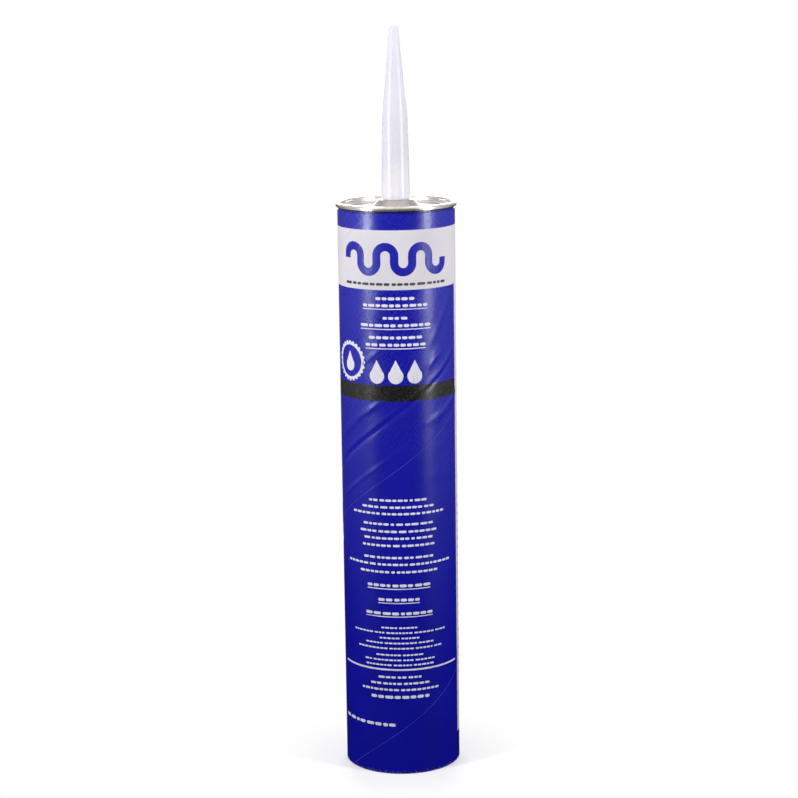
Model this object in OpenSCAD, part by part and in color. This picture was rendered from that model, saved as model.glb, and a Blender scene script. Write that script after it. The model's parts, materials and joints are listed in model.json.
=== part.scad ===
// Construction adhesive cartridge, large size, for a barrel gun.
// A spiral-wound board barrel with a printed wrap, closed at the top by a tinplate
// end that is rolled over the board. A hollow moulded nozzle with a sealed tip comes
// up through a drawn boss in that end. A moulded plunger closes the open rear, and
// the gun's disc pushes it up the barrel.
// The bottom edge of the barrel is z = 0 and its axis is Z. The front, with the
// middle of the front print, faces -Y.

/* [Barrel] */
// Outside diameter over the printed wrap
barrel_d = 66; // [60:0.5:76]
// Height from the bottom edge to the top of the metal seam
barrel_h = 326.5; // [290:0.5:400]
// Thickness of the wound board
board_t = 1.05; // [0.8:0.05:1.8]
// Thickness of the printed wrap
wrap_t = 0.35; // [0.2:0.05:0.5]
// Bare board below the wrap at the bottom edge
bare_edge = 0.4; // [0.2:0.1:2]

/* [Metal end] */
// Sheet thickness of the tinplate end
tin_t = 0.25; // [0.15:0.05:0.35]
// Height of the rolled seam, seen from the side
seam_h = 2.6; // [2.2:0.1:4]
// Slack inside the hem of the seam
hem_slack = 0.25; // [0.15:0.05:0.4]
// Depth of the pressed groove under the seam
crimp_depth = 0.4; // [0.35:0.05:0.5]
// Height of the pressed groove under the seam
crimp_h = 1.2; // [1:0.1:2]
// Depth from the top of the seam down to the sunk panel
panel_drop = 3.8; // [3.4:0.1:6]
// Radius of the curve from the wall of the end into its panel
panel_curve = 2.3; // [1.5:0.1:3]
// Diameter of the nozzle boss where it leaves the panel
boss_base_d = 29; // [27:0.5:34]
// Diameter of the flat top of the nozzle boss
boss_top_d = 19.5; // [18.5:0.5:22]
// Height of the nozzle boss above the panel
boss_h = 5; // [4:0.1:6]
// Outside radius of the curve round the top of the boss
boss_shoulder_curve = 1.6; // [1:0.1:2]
// Radius of the curve where the boss rises from the panel
boss_foot_curve = 1.2; // [0.8:0.1:2]

/* [Nozzle] */
// Diameter of the nozzle where it leaves the boss
nozzle_base_d = 15.8; // [14:0.2:16.4]
// Diameter where the slow taper ends and the long cone starts
nozzle_neck_d = 14.4; // [11:0.2:14.4]
// Height of that place above the boss
nozzle_neck_h = 46.5; // [20:0.5:60]
// Diameter of the rounded tip
nozzle_tip_d = 5.5; // [4.5:0.1:8]
// Height of the nozzle above the boss
nozzle_h = 96.4; // [80:0.2:140]
// Wall of the nozzle
nozzle_wall = 1.3; // [0.8:0.1:1.6]
// Plastic left in the sealed tip
tip_plug = 4; // [2:0.5:8]
// Thickness of the flange that holds the nozzle under the panel
flange_t = 1; // [0.6:0.1:1.6]
// How far the flange reaches past the boss
flange_reach = 2; // [1:0.5:4]
// Thickness of the membrane under the nozzle
membrane_t = 0.15; // [0.1:0.05:0.3]

/* [Plunger] */
// Depth of the open rear skirt below the plunger
skirt_depth = 21; // [12:0.5:30]
// Height of the plunger at its wall
plunger_h = 18; // [14:0.5:26]
// Wall and crown thickness of the plunger
plunger_wall = 1.6; // [1.2:0.1:2.4]
// Height of each sealing lip
lip_h = 2.4; // [1.5:0.1:4]
// How far the lips stand out from the plunger's wall
lip_stand = 0.6; // [0.4:0.1:1.2]
// Clearance between the lips and the bore
lip_gap = 0.15; // [0.1:0.05:0.3]
// Diameter of the raised centre of the crown
crown_nub_d = 24; // [16:0.5:26]
// Height of the raised centre of the crown
crown_nub_h = 2.5; // [1.5:0.1:4]
// Number of stiffening ribs under the crown
rib_count = 8; // [4:1:16]
// Thickness of a rib
rib_t = 1.2; // [0.8:0.1:2]
// Depth of a rib below the crown
rib_h = 4.5; // [3:0.5:6]
// Diameter of the ring that joins the ribs
rib_ring_d = 16; // [12:0.5:22]
// Space left above the plunger at the end of its stroke
stroke_end_gap = 0.5; // [0.3:0.1:2]

/* [Fits] */
// Clearance between parts that seat on each other
seat_gap = 0.1; // [0.05:0.01:0.15]

/* [Print] */
// Thickness of a printed field
ink_t = 0.08; // [0.06:0.01:0.1]
// Blue collar between the seam and the white band
collar_h = 10.2; // [5:0.1:14]
// Height of the white band
band_h = 33; // [30:0.5:36]
// Blue field between the white band and the black stripe
field_h = 53.5; // [53:0.5:60]
// Height of the black stripe
stripe_h = 9; // [5:0.5:12]
// Where the white back panel starts, turned from the front towards +X
panel_from = 74; // [73:1:80]
// Where the white back panel ends
panel_to = 245; // [200:1:250]
// Bottom of the white back panel
panel_bottom = 17; // [10:1:40]
// Turn of the middle of the front print from the front
print_turn = -2.5; // [-4:0.5:0]
// Stroke of the bead motif on the white band
bead_stroke = 4.6; // [3:0.1:5]
// Pitch of the bead motif, measured round the barrel
bead_pitch = 10; // [9.5:0.1:11]
// Height of the bead motif
bead_h = 18.6; // [16:0.1:20]
// Diameter of the round seal
seal_d = 23; // [18:0.5:23]
// Distance of the seal from the middle of the front print, round the barrel
seal_offset = 29.7; // [29.7:0.1:31]
// Height of a drop
drop_h = 13.4; // [10:0.1:14]
// Pitch of the drops, measured round the barrel
drop_pitch = 10.8; // [10:0.1:11]
// Height of the white rule above the bottom edge
rule_z = 62.5; // [62:0.1:62.8]
// Thickness of the white rule
rule_h = 1; // [0.6:0.1:1.2]
// Space between two printed words
word_space = 1.1; // [0.8:0.1:1.6]
// Thickness of the lines under printed rows
underline_h = 0.5; // [0.3:0.1:0.8]

/* [Hidden] */
$fn = 96;

// Radii of the barrel, from the wrap inwards
wrap_r = barrel_d / 2;
board_r = wrap_r - wrap_t;
bore_r = board_r - board_t;

// The rolled seam, from the bore outwards
chuck_r = bore_r - tin_t;
hem_in_r = wrap_r + seat_gap;
hem_out_r = hem_in_r + tin_t;
seam_in_r = hem_out_r + hem_slack;
seam_r = seam_in_r + tin_t;
seam_arc_out = (seam_r - chuck_r) / 2;
seam_mid_r = (seam_r + chuck_r) / 2;
seam_arc_z = barrel_h - seam_arc_out;
seam_bottom = barrel_h - seam_h;
hem_arc_out = (seam_r - hem_in_r) / 2;
hem_arc_z = seam_bottom + hem_arc_out;
hem_mid_r = (seam_r + hem_in_r) / 2;
board_top = seam_arc_z - seat_gap;

// The sunk panel and the boss
panel_top = barrel_h - panel_drop;
panel_under = panel_top - tin_t;
chuck_upright = 0.2;
hem_share = 0.8;
bend_steps = 6;
panel_bend = min(panel_curve, panel_drop - seam_arc_out - chuck_upright);
panel_bend_z = panel_top + panel_bend;
panel_r = chuck_r - panel_bend;
boss_top = panel_top + boss_h;
boss_under = boss_top - tin_t;
boss_hole_r = nozzle_base_d / 2 + seat_gap;
boss_lean = (boss_base_d - boss_top_d) / 2 / boss_h;
boss_stretch = sqrt(1 + boss_lean * boss_lean);
boss_heading = 90 + atan(boss_lean);

// The nozzle
nozzle_top = boss_top + nozzle_h;
tip_r = nozzle_tip_d / 2;
tip_z = nozzle_top - tip_r;
neck_z = boss_top + nozzle_neck_h;
flange_r = boss_base_d / 2 + flange_reach;
flange_top = panel_under - seat_gap;
flange_bottom = flange_top - flange_t;
cuff_top = boss_under - seat_gap;
cuff_inset = (tin_t + seat_gap) * boss_stretch;
cuff_hollow_top = cuff_top - nozzle_wall;
membrane_bottom = flange_bottom - membrane_t;

// The plunger and the stroke
plunger_r = bore_r - lip_gap;
plunger_body_r = plunger_r - lip_stand;
plunger_cup_r = plunger_body_r - plunger_wall;
crown_top = skirt_depth + plunger_h;
crown_under = crown_top - plunger_wall;
adhesive_top = membrane_bottom - seat_gap;
stroke = adhesive_top - (crown_top + crown_nub_h) - stroke_end_gap;

// Heights of the printed fields
band_top = seam_bottom - collar_h;
band_bottom = band_top - band_h;
stripe_top = band_bottom - field_h;
stripe_bottom = stripe_top - stripe_h;
crimp_bottom = seam_bottom - crimp_h;
crimp_ramp = 0.2;
rule_from = -72;
rule_to = 67;

// Printed rows: height below the white band, width round the barrel, height, words
upper_rows = [
    [4.3, 22, 2.6, [12]],
    [8.2, 37.7, 2.6, [12, 8]],
    [15.2, 13.9, 2.4, [5, 2]],
    [19.3, 41.1, 2.6, [12, 11]],
    [26.1, 30.7, 2.6, [8, 8]],
    [30.2, 34.9, 2.6, [4, 2, 12]]];
upper_lines = [[10.7, 37.7], [21.9, 41.1], [32.8, 34.9]];

// Printed rows: height above the bottom edge, width round the barrel, height, words
lower_rows = [
    [162, 33.8, 2.1, [3, 9, 1, 4]],
    [158, 43.1, 2.1, [5, 2, 9, 3]],
    [154.2, 57.4, 2.1, [10, 12, 8]],
    [148.2, 41.7, 2.1, [8, 1, 2, 4, 4]],
    [144, 46.5, 2.1, [5, 5, 2, 8]],
    [140, 41.1, 2.1, [2, 11, 1, 5]],
    [135.8, 43.6, 2.1, [9, 2, 10]],
    [128.8, 41.8, 2.1, [4, 8, 3, 6]],
    [124.8, 67.4, 2.1, [8, 2, 9, 14]],
    [120.4, 47.4, 2.1, [9, 1, 12]],
    [112.6, 37.4, 2.6, [6, 5, 4]],
    [104.3, 24, 2.6, [4, 7]],
    [96.2, 40, 2.6, [4, 4, 8]],
    [87.6, 20.8, 1.5, [7, 8]],
    [84.6, 58.3, 1.5, [9, 4, 10, 8, 5]],
    [81.5, 23.2, 1.5, [9, 8]],
    [78.5, 40.8, 1.5, [7, 12, 6]],
    [75.4, 52.2, 1.5, [11, 8, 6, 3]],
    [71.5, 27.6, 1.5, [11, 9]],
    [68.5, 42.3, 1.5, [3, 11, 4, 8]],
    [65.5, 40.9, 1.5, [9, 6, 7]],
    [58.4, 25.2, 2, [4, 2, 3]],
    [54.6, 35.1, 2, [3, 5, 7]],
    [50.9, 47.3, 2, [9, 9]],
    [46.7, 34.8, 2.8, [13]]];
lower_lines = [[110.1, 37.4], [101.8, 24], [93.8, 40]];

// The contents line, low on the left of the front
contents_z = 30;
contents_arc = 38.5;
contents_offset = -22.1;
contents_h = 2.8;

// The small print on the back panel: two columns of rows between two heights
back_low = 52;
back_high = 157;
back_pitch = 5;
back_row_h = 2;
back_margin = 8;

// The tagline under the bead motif
tagline_arc = 64;
tagline_h = 2.4;
tagline_rise = 3.6;
bead_rise = 7.6;
bead_turns = 6;
ink_break = 0.06;

// Seal and drops
seal_ring = 1.6;
seal_lobes = 24;
seal_lobe_r = 0.9;
seal_gap_below_band = 41.2;
drop_gap_above_stripe = 0.9;
drop_count = 3;

// Turn, in degrees, of a length measured round the barrel
function turn(arc) = arc / wrap_r * 180 / PI;
// Sum of the first n values
function run(values, n) = n == 0 ? 0 : values[n - 1] + run(values, n - 1);

// Outside radius of the boss's flank at a height
function boss_r(z) = boss_top_d / 2 + (boss_top - z) * boss_lean;

// Points of a round bend at a corner of a path that turns from one heading to another
function rounded(corner, r, from, to) =
    let (
        side = sign(to - from),
        reach = r * tan(abs(to - from) / 2),
        start = corner - reach * [cos(from), sin(from)],
        middle = start + side * r * [-sin(from), cos(from)])
    [for (i = [0 : bend_steps])
        let (heading = from + (to - from) * i / bend_steps)
        middle + side * r * [sin(heading), -cos(heading)]];

// The same points from last to first
function backward(points) = [for (i = [len(points) - 1 : -1 : 0]) points[i]];

// A ring between two radii, over part of the turn, from the front towards +X
module arc_band(inner, outer, bottom, top, from, to) {
    rotate([0, 0, from - 90])
        rotate_extrude(angle = to - from)
            translate([inner, bottom])
                square([outer - inner, top - bottom]);
}

// A printed bar on the wrap, or one layer further out
module bar(middle, z, arc, height, layer = 0) {
    low = wrap_r + layer * ink_t;
    half = turn(arc) / 2;
    arc_band(low, low + ink_t, z - height / 2, z + height / 2, middle - half, middle + half);
}

// One row of print: a bar for each word, as wide as its letters
module row(middle, z, arc, height, words, layer = 0) {
    count = len(words);
    unit = (arc - word_space * (count - 1)) / run(words, count);
    for (i = [0 : count - 1]) {
        start = unit * run(words, i) + word_space * i - arc / 2;
        length = unit * words[i];
        bar(middle + turn(start + length / 2), z, length, height, layer);
    }
}

// A flat figure laid on the barrel, at a turn and a height
module patch(middle, z, layer = 0) {
    low = wrap_r + layer * ink_t;
    intersection() {
        rotate([0, 0, middle])
            translate([0, 0, z])
                rotate([90, 0, 0])
                    linear_extrude(height = wrap_r * 2)
                        children();
        difference() {
            cylinder(r = low + ink_t, h = barrel_h);
            cylinder(r = low, h = barrel_h);
        }
    }
}

module fibre_tube() {
    color([0.72, 0.6, 0.44])
        rotate_extrude()
            polygon([
                [bore_r, 0],
                [board_r, 0],
                [board_r, crimp_bottom],
                [board_r - crimp_depth, crimp_bottom + crimp_ramp],
                [board_r - crimp_depth, seam_bottom - crimp_ramp],
                [board_r, seam_bottom],
                [board_r, board_top],
                [bore_r, board_top]]);
}

module printed_wrap() {
    color([0.1, 0.11, 0.62])
        rotate_extrude()
            polygon([
                [board_r, bare_edge],
                [wrap_r, bare_edge],
                [wrap_r, crimp_bottom],
                [wrap_r - crimp_depth, crimp_bottom + crimp_ramp],
                [wrap_r - crimp_depth, seam_bottom - crimp_ramp],
                [wrap_r, seam_bottom],
                [wrap_r, board_top],
                [board_r, board_top],
                [board_r, seam_bottom],
                [board_r - crimp_depth, seam_bottom - crimp_ramp],
                [board_r - crimp_depth, crimp_bottom + crimp_ramp],
                [board_r, crimp_bottom]]);
}

module white_band() {
    color([0.88, 0.86, 0.9])
        rotate_extrude()
            translate([wrap_r, band_bottom])
                square([ink_t, band_h]);
}

module black_stripe() {
    color([0.09, 0.09, 0.12])
        arc_band(wrap_r, wrap_r + ink_t, stripe_bottom, stripe_top, panel_to - 360, panel_from);
}

module back_panel() {
    color([0.88, 0.87, 0.9])
        arc_band(wrap_r, wrap_r + ink_t, panel_bottom, band_bottom, panel_from, panel_to);
}

// Half a wave of the bead: a half ring on two legs, which stop short of the middle line
module bead_half() {
    end_r = (bead_pitch + bead_stroke) / 2;
    leg_h = bead_h / 2 - end_r;
    hollow_r = end_r - bead_stroke;
    difference() {
        union() {
            translate([0, leg_h])
                circle(r = end_r);
            translate([-end_r, ink_break])
                square([end_r * 2, leg_h - ink_break]);
        }
        translate([0, leg_h])
            circle(r = hollow_r);
        translate([-hollow_r, ink_break - 1])
            square([hollow_r * 2, leg_h - ink_break + 1]);
        translate([-end_r * 2, ink_break - bead_h])
            square([end_r * 4, bead_h]);
    }
}

// A serpentine bead of adhesive, half waves up and down in turn
module bead_motif() {
    mid_z = band_bottom + bead_rise + bead_h / 2;
    first = print_turn - turn(bead_pitch) * (bead_turns - 1) / 2;
    color([0.11, 0.13, 0.64])
        for (i = [0 : bead_turns - 1])
            patch(first + turn(bead_pitch) * i, mid_z, 1)
                mirror([0, i % 2])
                    bead_half();
}

module tagline() {
    color([0.3, 0.27, 0.33])
        row(print_turn, band_bottom + tagline_rise, tagline_arc, tagline_h, [3, 14, 8, 3, 8], 1);
}

// A scalloped ring with a drop in it, in the place of a seal
module seal_figure() {
    outer = seal_d / 2 - seal_lobe_r;
    difference() {
        union() {
            circle(r = outer);
            for (i = [0 : seal_lobes - 1])
                rotate(i * 360 / seal_lobes)
                    translate([outer, 0])
                        circle(r = seal_lobe_r, $fn = 24);
        }
        circle(r = outer - seal_ring);
    }
    drop_figure(seal_d / 2);
}

// A drop that stands on its round end, its middle at half its height
module drop_figure(height) {
    round_r = height * 0.32;
    centre = round_r - height / 2;
    lean = acos(round_r / (height - round_r));
    shoulder = round_r * 0.96;
    translate([0, centre])
        circle(r = round_r);
    polygon([
        [0, height / 2],
        [-shoulder * sin(lean), centre + shoulder * cos(lean)],
        [shoulder * sin(lean), centre + shoulder * cos(lean)]]);
}

module front_print() {
    color([0.9, 0.89, 0.94]) {
        for (r = upper_rows)
            row(print_turn, band_bottom - r[0], r[1], r[2], r[3]);
        for (r = upper_lines)
            bar(print_turn, band_bottom - r[0], r[1], underline_h);
        for (r = lower_rows)
            row(print_turn, r[0], r[1], r[2], r[3]);
        for (r = lower_lines)
            bar(print_turn, r[0], r[1], underline_h);
        arc_band(wrap_r, wrap_r + ink_t, rule_z - rule_h / 2, rule_z + rule_h / 2, rule_from, rule_to);
        row(print_turn + turn(contents_offset), contents_z, contents_arc, contents_h, [2, 2, 3, 4, 3]);
        patch(print_turn - turn(seal_offset), band_bottom - seal_gap_below_band)
            seal_figure();
        for (i = [0 : drop_count - 1])
            patch(print_turn + turn(drop_pitch) * (i - (drop_count - 1) / 2),
                stripe_top + drop_gap_above_stripe + drop_h / 2)
                drop_figure(drop_h);
    }
}

module back_print() {
    column = (panel_to - panel_from - back_margin * 3) / 2;
    rows = floor((back_high - back_low) / back_pitch);
    color([0.3, 0.3, 0.36])
        for (side = [0, 1], i = [0 : rows]) {
            start = panel_from + back_margin + side * (column + back_margin);
            share = i % 5 == 4 ? 0.6 : 1 - 0.06 * ((i * 3 + side) % 4);
            z = back_high - i * back_pitch;
            arc_band(wrap_r + ink_t, wrap_r + ink_t * 2, z - back_row_h / 2, z + back_row_h / 2,
                start, start + column * share);
        }
}

// A bend in the sheet: the part of a flat ring on one side of its middle
module bend(outer) {
    difference() {
        circle(r = outer);
        circle(r = outer - tin_t);
        translate([0, -outer * 2])
            square([outer * 2, outer * 4]);
    }
}

// The section of the tinplate end, from the hem of the seam to the hole in the boss
module end_section() {
    // round top of the seam
    translate([seam_mid_r, seam_arc_z])
        rotate(-90)
            bend(seam_arc_out);
    // outer wall of the seam
    translate([seam_in_r, hem_arc_z])
        square([tin_t, seam_arc_z - hem_arc_z]);
    // turn at the foot of the seam
    translate([hem_mid_r, hem_arc_z])
        rotate(90)
            bend(hem_arc_out);
    // hem turned up against the wrap
    translate([hem_in_r, hem_arc_z])
        square([tin_t, (board_top - hem_arc_z) * hem_share]);
    // wall that stands in the bore
    translate([chuck_r, panel_bend_z])
        square([tin_t, seam_arc_z - panel_bend_z]);
    // curve into the panel
    translate([panel_r, panel_bend_z])
        rotate(90)
            difference() {
                bend(panel_bend + tin_t);
                translate([-panel_bend * 2, 0])
                    square(panel_bend * 2);
            }
    // flat panel and the drawn boss with its rounded foot and shoulder
    polygon(concat(
        [[panel_r, panel_under], [panel_r, panel_top]],
        rounded([boss_base_d / 2, panel_top], boss_foot_curve, 180, boss_heading),
        rounded([boss_top_d / 2, boss_top], boss_shoulder_curve, boss_heading, 180),
        [[boss_hole_r, boss_top], [boss_hole_r, boss_under]],
        backward(rounded([boss_r(boss_under) - tin_t * boss_stretch, boss_under],
            boss_shoulder_curve - tin_t, boss_heading, 180)),
        backward(rounded([boss_r(panel_under) - tin_t * boss_stretch, panel_under],
            boss_foot_curve + tin_t, 180, boss_heading))));
}

module top_end() {
    color([0.74, 0.73, 0.74])
        rotate_extrude()
            end_section();
}

// Half section of the nozzle, made smaller by a wall for its hollow
module nozzle_outline(wall, bottom, plug) {
    tip = max(tip_r - wall, 0.5);
    top = tip_z - plug;
    translate([0, top])
        intersection() {
            circle(r = tip);
            translate([0, -tip])
                square([tip * 2, tip * 2]);
        }
    polygon([
        [0, bottom],
        [nozzle_base_d / 2 - wall, bottom],
        [nozzle_base_d / 2 - wall, boss_top],
        [nozzle_neck_d / 2 - wall, neck_z],
        [tip, top],
        [0, top]]);
}

// The cuff that fills the boss from below, and the flange under the panel
module nozzle_foot() {
    polygon(concat(
        [[0, flange_bottom],
            [flange_r, flange_bottom],
            [flange_r, flange_top],
            [boss_r(flange_top) - cuff_inset, flange_top]],
        rounded([boss_r(cuff_top) - cuff_inset, cuff_top],
            boss_shoulder_curve - tin_t - seat_gap, boss_heading, 180),
        [[0, cuff_top]]));
}

// The hollow of the cuff, one wall inside it, open below
module cuff_hollow() {
    polygon([
        [0, flange_bottom - 1],
        [boss_r(flange_bottom) - cuff_inset - nozzle_wall * boss_stretch, flange_bottom - 1],
        [boss_r(flange_bottom) - cuff_inset - nozzle_wall * boss_stretch, flange_bottom],
        [boss_r(cuff_hollow_top) - cuff_inset - nozzle_wall * boss_stretch, cuff_hollow_top],
        [0, cuff_hollow_top]]);
}

module nozzle() {
    color([0.92, 0.91, 0.95])
        rotate_extrude()
            difference() {
                union() {
                    nozzle_outline(0, flange_top, 0);
                    nozzle_foot();
                }
                nozzle_outline(nozzle_wall, flange_bottom - 1, tip_plug);
                cuff_hollow();
            }
}

module membrane() {
    color([0.8, 0.8, 0.82])
        translate([0, 0, membrane_bottom])
            cylinder(r = flange_r - seat_gap, h = membrane_t);
}

module adhesive() {
    color([0.78, 0.72, 0.6])
        difference() {
            translate([0, 0, crown_top + seat_gap])
                cylinder(r = bore_r - seat_gap, h = adhesive_top - crown_top - seat_gap);
            translate([0, 0, crown_top - 1])
                cylinder(r = crown_nub_d / 2 + seat_gap, h = crown_nub_h + seat_gap + 1);
        }
}

module plunger_section() {
    difference() {
        union() {
            translate([0, skirt_depth])
                square([plunger_body_r, plunger_h]);
            translate([0, crown_top])
                square([crown_nub_d / 2, crown_nub_h]);
            // rear lip, and the front lip at the crown, each with a lead-in
            lip(skirt_depth, 1);
            lip(crown_top, -1);
        }
        translate([0, skirt_depth - 1])
            square([plunger_cup_r, plunger_h - plunger_wall + 1]);
        translate([0, crown_under - 1])
            square([crown_nub_d / 2 - plunger_wall, crown_nub_h + 1]);
    }
}

// A sealing lip that starts at an edge of the plunger and runs towards its middle
module lip(edge, way) {
    polygon([
        [plunger_cup_r, edge],
        [plunger_r - lip_stand / 2, edge],
        [plunger_r, edge + way * lip_stand / 2],
        [plunger_r, edge + way * (lip_h - lip_stand)],
        [plunger_body_r, edge + way * lip_h],
        [plunger_cup_r, edge + way * lip_h]]);
}

module plunger() {
    color([0.86, 0.87, 0.86]) {
        rotate_extrude()
            plunger_section();
        // ribs and their ring under the crown
        for (i = [0 : rib_count - 1])
            rotate([0, 0, i * 360 / rib_count])
                translate([rib_ring_d / 2, -rib_t / 2, crown_under - rib_h])
                    cube([plunger_cup_r + plunger_wall / 2 - rib_ring_d / 2, rib_t, rib_h + plunger_wall / 2]);
        translate([0, 0, crown_under - rib_h])
            difference() {
                cylinder(d = rib_ring_d + rib_t, h = rib_h + crown_nub_h + plunger_wall / 2);
                translate([0, 0, -1])
                    cylinder(d = rib_ring_d - rib_t, h = rib_h + crown_nub_h + plunger_wall / 2 + 2);
            }
    }
}

fibre_tube();
printed_wrap();
white_band();
black_stripe();
back_panel();
bead_motif();
tagline();
front_print();
back_print();
top_end();
nozzle();
membrane();
adhesive();
plunger();
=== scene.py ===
"""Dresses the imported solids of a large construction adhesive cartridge.

The barrel is a wound board tube under a wound, printed paper wrap. Its top is a rolled
tinplate end with a milky nozzle, and a plunger closes the open rear. The paper is built
here as the spiral strip that it is, with the lap of its turns and the soft folds that the
winding and handling leave, and the print is laid on it.
"""

import json
import logging
import math
from dataclasses import dataclass, field
from enum import Enum
from functools import partial
from random import Random

import bmesh
import bpy
from mathutils import Matrix, Vector, noise


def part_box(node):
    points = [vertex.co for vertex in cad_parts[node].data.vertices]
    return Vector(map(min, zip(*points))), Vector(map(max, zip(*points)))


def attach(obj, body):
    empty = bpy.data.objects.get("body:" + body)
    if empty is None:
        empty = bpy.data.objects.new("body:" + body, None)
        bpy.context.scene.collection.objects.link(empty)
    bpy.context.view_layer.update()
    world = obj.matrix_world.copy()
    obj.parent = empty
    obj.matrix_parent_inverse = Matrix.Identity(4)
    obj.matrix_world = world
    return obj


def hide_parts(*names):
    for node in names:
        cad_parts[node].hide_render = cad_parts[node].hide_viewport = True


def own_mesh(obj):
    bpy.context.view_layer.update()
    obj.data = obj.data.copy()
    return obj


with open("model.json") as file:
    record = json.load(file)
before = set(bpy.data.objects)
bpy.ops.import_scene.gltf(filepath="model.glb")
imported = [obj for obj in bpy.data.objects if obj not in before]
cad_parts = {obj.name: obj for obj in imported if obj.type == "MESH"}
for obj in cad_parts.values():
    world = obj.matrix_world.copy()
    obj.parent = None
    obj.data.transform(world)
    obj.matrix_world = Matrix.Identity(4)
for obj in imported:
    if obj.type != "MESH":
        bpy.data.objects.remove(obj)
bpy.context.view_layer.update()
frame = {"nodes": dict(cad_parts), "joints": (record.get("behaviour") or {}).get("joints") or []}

LOG = logging.getLogger("cartridge")
MM = 0.001
FULL_TURN = 360.0
UV_NAME = "winding"
BODY = "cartridge"
SLIDE = "plunger_slide"
WHITE = (1.0, 1.0, 1.0, 1.0)
# Points nearer than this are one
MERGE = 1e-6
# Angle past which an edge stays sharp
SHARP = math.radians(35)
# How far past the wrap the rolled rim stands at least
RIM_STANDS = 0.3 * MM
# Where a fold ends across, in its widths, and what share of its run each end tapers over
FOLD_REACH = 3
FOLD_TAPER = 0.25
# Heights of the bars that stand for words, and their least length for a height
WORD_HEIGHTS = (1.3 * MM, 3.2 * MM)
WORD_LENGTH = 0.4

Colour = tuple[int, int, int]
Plane = tuple[Vector, Vector]
BMesh = bmesh.types.BMesh
Material = bpy.types.Material
Socket = bpy.types.NodeSocket
Feeds = dict[str | int, object]


def linear(colour: Colour) -> tuple[float, float, float, float]:
    """Turns a screen colour into the linear one that a shader takes.

    Args:
        colour: Red, green and blue from 0 to 255.

    Returns:
        Linear red, green and blue, and full alpha.
    """
    def channel(value: int) -> float:
        """One channel, from 0 to 255 to linear."""
        share = value / 255
        return share / 12.92 if share <= 0.04045 else ((share + 0.055) / 1.055) ** 2.4

    red, green, blue = colour
    return channel(red), channel(green), channel(blue), 1.0


def turn_of(point: Vector) -> float:
    """Turn of a point round the axis, in degrees from the front towards +X."""
    return math.degrees(math.atan2(point.x, -point.y))


def place(turn: float, radius: float, height: float) -> Vector:
    """Point at a turn in degrees, a radius and a height."""
    angle = math.radians(turn)
    return Vector((math.sin(angle) * radius, -math.cos(angle) * radius, height))


def soft_step(share: float) -> float:
    """Smooth step from 0 to 1, flat beyond both ends."""
    share = min(1.0, max(0.0, share))
    return share * share * (3 - 2 * share)


def axial_plane(turn: float) -> Plane:
    """Plane through the axis at a turn, as a point and a normal."""
    angle = math.radians(turn)
    return Vector(), Vector((math.cos(angle), math.sin(angle), 0))


def level_plane(height: float) -> Plane:
    """Level plane at a height, as a point and a normal."""
    return Vector((0, 0, height)), Vector((0, 0, 1))


def cut(bm: BMesh, plane: Plane, below: bool = False, above: bool = False) -> None:
    """Cuts a mesh along a plane.

    Args:
        bm: The mesh.
        plane: A point and a normal.
        below: Whether what lies behind the plane goes.
        above: Whether what lies in front of the plane goes.
    """
    geometry = bm.verts[:] + bm.edges[:] + bm.faces[:]
    bmesh.ops.bisect_plane(
        bm, geom=geometry, dist=MERGE, plane_co=plane[0], plane_no=plane[1],
        clear_inner=below, clear_outer=above,
    )


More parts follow.
